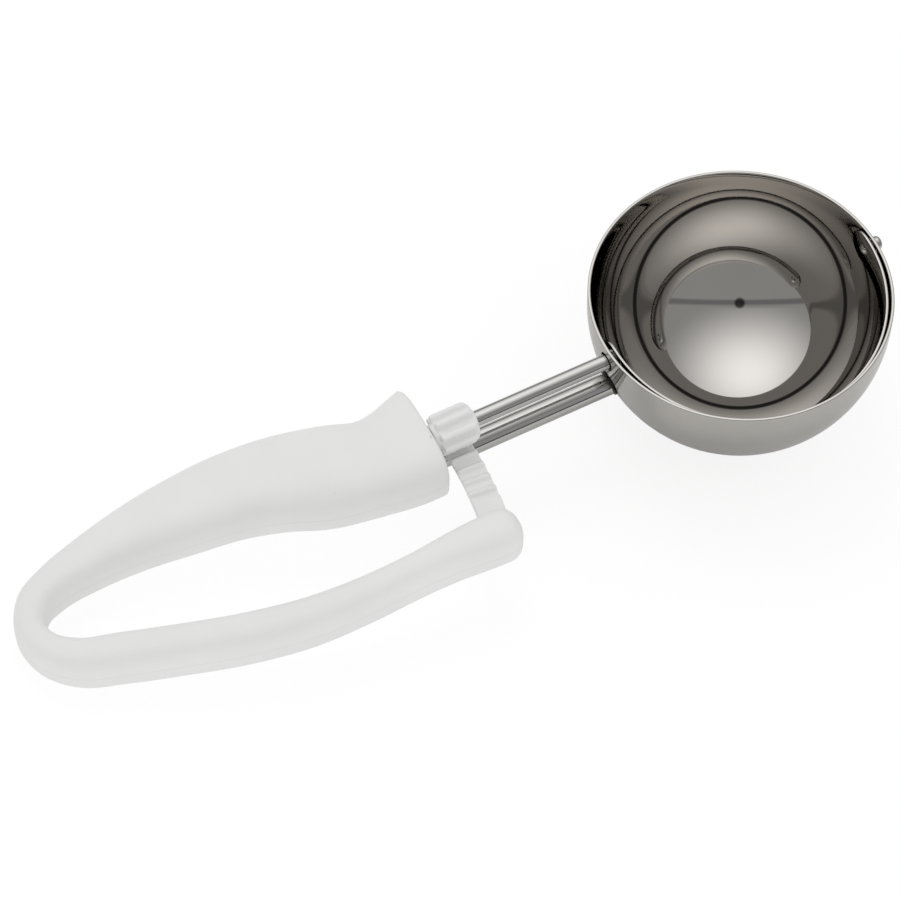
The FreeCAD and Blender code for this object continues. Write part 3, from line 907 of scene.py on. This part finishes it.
def make_floor():
    """Plain pale floor that keeps a faint shadow and reads white to the camera."""
    stage = stage_settings()
    floor = new_shape(bpy.ops.mesh.primitive_circle_add, vertices=FLOOR_STEPS, radius=stage.floor_radius,
                      fill_type="NGON")
    floor.name = "floor"
    material = bpy.data.materials.new("floor")
    material.use_nodes = True
    tree = material.node_tree
    tree.nodes.clear()
    plain = added(tree, "BsdfDiffuse", {"Color": tinted(stage.floor_colour)})
    shaded = added(tree, "BsdfDiffuse", {"Color": tinted([stage.shadow] * 3)})
    white = added(tree, "Emission", {"Strength": 1.0 - FLOOR_LIGHT * stage.shadow})
    seen = added(tree, "AddShader", {0: shaded.outputs["BSDF"], 1: white.outputs["Emission"]})
    mirrored = added(tree, "LightPath", {}).outputs["Is Glossy Ray"]
    shown = added(tree, "MixShader", {0: mirrored, 1: seen.outputs["Shader"], 2: plain.outputs["BSDF"]})
    added(tree, "OutputMaterial", {"Surface": shown.outputs["Shader"]})
    floor.data.materials.append(material)


def studio_reflection(tree, direction):
    """What polished metal sees: a soft bright ceiling from eye level up, grey walls and dark gaps."""
    lamp, eye, camera = [compared(tree, "DOT_PRODUCT", direction, row_direction(towards))
                         for towards in (LAMP_DIRECTION, CAMERA_UP, CAMERA_PLACE)]
    glow = calculated(tree, "POWER", ranged(tree, lamp, GLOW_SPREAD, (0.0, 1.0)), GLOW_FALL)
    glow = calculated(tree, "MULTIPLY", glow, ranged(tree, eye, EYE_LEVEL, (0.0, 1.0)))
    glow = calculated(tree, "MULTIPLY", glow, GLOW_STRENGTH)
    gap = calculated(tree, "ABSOLUTE", calculated(tree, "ADD", eye, GAP_LOW))
    height = added(tree, "SeparateXYZ", {"Vector": direction}).outputs["Z"]
    sky = calculated(tree, "ADD", glow, ROOM_GREY)
    for shade in (ranged(tree, gap, GAP_WIDTH, (GAP_SHARE, 1.0)),
                  ranged(tree, camera, SPOT_EDGE, (1.0, SPOT_SHARE)),
                  ranged(tree, height, FADE_HEIGHT, (FADE_SHARE, 1.0))):
        sky = calculated(tree, "MULTIPLY", sky, shade)
    return sky


def make_world():
    """Soft even studio for matte surfaces, with a studio to reflect for the metal, and white behind."""
    world = bpy.data.worlds.new("studio")
    bpy.context.scene.world = world
    world.use_nodes = True
    tree = world.node_tree
    background = tree.nodes["Background"]
    background.inputs["Color"].default_value = (1.0, 1.0, 1.0, 1.0)
    direction = added(tree, "TexCoord", {}).outputs["Generated"]
    path = added(tree, "LightPath", {})
    lit = mixed(tree, path.outputs["Is Glossy Ray"], MATTE_LIGHT, studio_reflection(tree, direction))
    tree.links.new(mixed(tree, path.outputs["Is Camera Ray"], lit, 1.0), background.inputs["Strength"])


def make_lamp():
    """One wide soft lamp overhead, a little behind the scoop."""
    stage = stage_settings()
    lamp = linked("soft_lamp", bpy.data.lights.new("soft_lamp", "AREA"))
    towards = row_direction(LAMP_DIRECTION)
    lamp.location = BOWL_CENTRE + towards * LAMP_DISTANCE
    lamp.rotation_euler = towards.to_track_quat("Z", "Y").to_euler()
    lamp.data.shape = "DISK"
    lamp.data.size = stage.lamp_size
    lamp.data.energy = stage.lamp_power
    lamp.visible_glossy = False


class ScoopSteelSettings(bpy.types.PropertyGroup):
    bowl_colour: bpy.props.FloatVectorProperty(
        name="Bowl colour", description="Colour that the bowl and the blade give to reflections",
        default=(0.55, 0.53, 0.505), min=0.0, max=1.0, size=3, subtype="COLOR")
    bowl_roughness: bpy.props.FloatProperty(
        name="Bowl roughness", description="How blurred the bowl's reflections are",
        default=0.035, min=0.0, max=1.0, subtype="FACTOR")
    bar_colour: bpy.props.FloatVectorProperty(
        name="Bar colour", description="Colour that the shank and the shaft give to reflections",
        default=(0.56, 0.555, 0.54), min=0.0, max=1.0, size=3, subtype="COLOR")
    bar_roughness: bpy.props.FloatProperty(
        name="Bar roughness", description="How blurred the reflections of the shank and the shaft are",
        default=0.09, min=0.0, max=1.0, subtype="FACTOR")
    blade_thickness: bpy.props.FloatProperty(
        name="Blade thickness", description="Thickness of the blade's strip",
        default=0.6 * MM, min=0.3 * MM, max=1.2 * MM, precision=5, unit="LENGTH")
    blade_edge: bpy.props.FloatProperty(
        name="Blade edge", description="Width by which the blade's edges are broken",
        default=0.1 * MM, min=0.01 * MM, max=0.25 * MM, precision=5, unit="LENGTH")
    hole_gap: bpy.props.FloatProperty(
        name="Hole gap", description="Gap round the shaft and the pin where they pass through the bowl",
        default=0.6 * MM, min=0.05 * MM, max=1.5 * MM, precision=5, unit="LENGTH")
    weld_bead: bpy.props.FloatProperty(
        name="Weld bead", description="Radius of the bead of weld between the shank and the bowl",
        default=0.42 * MM, min=0.1 * MM, max=1.0 * MM, precision=5, unit="LENGTH")


class ScoopNylonSettings(bpy.types.PropertyGroup):
    handle_colour: bpy.props.FloatVectorProperty(
        name="Handle colour", description="Colour of the grip, the bow and the lever",
        default=(0.82, 0.82, 0.815), min=0.0, max=1.0, size=3, subtype="COLOR")
    gear_colour: bpy.props.FloatVectorProperty(
        name="Gear colour", description="Colour of the pinion and the toothed strap",
        default=(0.82, 0.82, 0.815), min=0.0, max=1.0, size=3, subtype="COLOR")
    roughness: bpy.props.FloatProperty(
        name="Roughness", description="How matte the white moulding is",
        default=0.48, min=0.0, max=1.0, subtype="FACTOR")
    gear_grain: bpy.props.FloatProperty(
        name="Gear grain", description="Spacing of the mesh on the gears, which eases their edges",
        default=0.13 * MM, min=0.08 * MM, max=1.0 * MM, precision=5, unit="LENGTH")
    tooth_height: bpy.props.FloatProperty(
        name="Tooth height", description="Share of their full height at which the strap's teeth show",
        default=0.55, min=0.1, max=1.0, subtype="FACTOR")


class ScoopStageSettings(bpy.types.PropertyGroup):
    floor_radius: bpy.props.FloatProperty(
        name="Floor radius", description="Radius of the pale floor", default=1.6, min=0.3, unit="LENGTH")
    floor_colour: bpy.props.FloatVectorProperty(
        name="Floor colour", description="Colour of the floor as the scoop reflects it",
        default=(0.84, 0.84, 0.83), min=0.0, max=1.0, size=3, subtype="COLOR")
    shadow: bpy.props.FloatProperty(
        name="Shadow", description="How strongly the scoop's shadow shows on the white floor",
        default=0.2, min=0.0, max=1.0, subtype="FACTOR")
    lamp_size: bpy.props.FloatProperty(
        name="Lamp size", description="Width of the soft lamp", default=0.5, min=0.05, unit="LENGTH")
    lamp_power: bpy.props.FloatProperty(
        name="Lamp power", description="Strength of the soft lamp", default=1.0, min=0.0, unit="POWER")


class SCOOP_OT_bowl(bpy.types.Operator):
    """Model the polished bowl"""
    bl_idname = "scoop.bowl"
    bl_label = "Bowl"

    def execute(self, context):
        make_bowl()
        return {"FINISHED"}


class SCOOP_OT_blade(bpy.types.Operator):
    """Model the sweep blade with its shaft and its far pin"""
    bl_idname = "scoop.blade"
    bl_label = "Blade and Shaft"

    def execute(self, context):
        make_blade()
        return {"FINISHED"}


class SCOOP_OT_shank(bpy.types.Operator):
    """Model the shank and the weld that holds it to the bowl"""
    bl_idname = "scoop.shank"
    bl_label = "Shank and Weld"

    def execute(self, context):
        make_shank()
        return {"FINISHED"}


class SCOOP_OT_gears(bpy.types.Operator):
    """Model the pinion and the toothed strap"""
    bl_idname = "scoop.gears"
    bl_label = "Pinion and Strap"

    def execute(self, context):
        make_gears()
        return {"FINISHED"}


class SCOOP_OT_handle(bpy.types.Operator):
    """Model the handle moulding: grip, springy bow and lever"""
    bl_idname = "scoop.handle"
    bl_label = "Handle"

    def execute(self, context):
        make_handle()
        return {"FINISHED"}


class SCOOP_OT_stage(bpy.types.Operator):
    """Set up the floor, the studio light and the camera"""
    bl_idname = "scoop.stage"
    bl_label = "Stage"

    def execute(self, context):
        make_camera()
        make_floor()
        make_world()
        make_lamp()
        return {"FINISHED"}


STEPS = (SCOOP_OT_stage, SCOOP_OT_bowl, SCOOP_OT_blade, SCOOP_OT_shank, SCOOP_OT_gears, SCOOP_OT_handle)


class SCOOP_PT_panel(bpy.types.Panel):
    """Settings and steps of the scoop"""
    bl_idname = "SCOOP_PT_panel"
    bl_label = "Ice Cream Scoop"
    bl_space_type = "VIEW_3D"
    bl_region_type = "UI"
    bl_category = "Scoop"

    def draw(self, context):
        for settings in (context.scene.scoop_steel, context.scene.scoop_nylon, context.scene.scoop_stage):
            box = self.layout.box()
            for name in settings.__annotations__:
                box.prop(settings, name)
        for step in STEPS:
            self.layout.operator(step.bl_idname)


CLASSES = (ScoopSteelSettings, ScoopNylonSettings, ScoopStageSettings, *STEPS, SCOOP_PT_panel)


def register():
    for one in CLASSES:
        bpy.utils.register_class(one)
    bpy.types.Scene.scoop_steel = bpy.props.PointerProperty(type=ScoopSteelSettings)
    bpy.types.Scene.scoop_nylon = bpy.props.PointerProperty(type=ScoopNylonSettings)
    bpy.types.Scene.scoop_stage = bpy.props.PointerProperty(type=ScoopStageSettings)


def unregister():
    del bpy.types.Scene.scoop_stage
    del bpy.types.Scene.scoop_nylon
    del bpy.types.Scene.scoop_steel
    for one in reversed(CLASSES):
        bpy.utils.unregister_class(one)


def main():
    register()
    bpy.context.scene.view_settings.view_transform = "Standard"
    bpy.ops.scoop.stage()
    bpy.ops.scoop.bowl()
    bpy.ops.scoop.blade()
    bpy.ops.scoop.shank()
    bpy.ops.scoop.gears()
    bpy.ops.scoop.handle()
    bpy.context.view_layer.update()


if __name__ == "__main__":
    main()
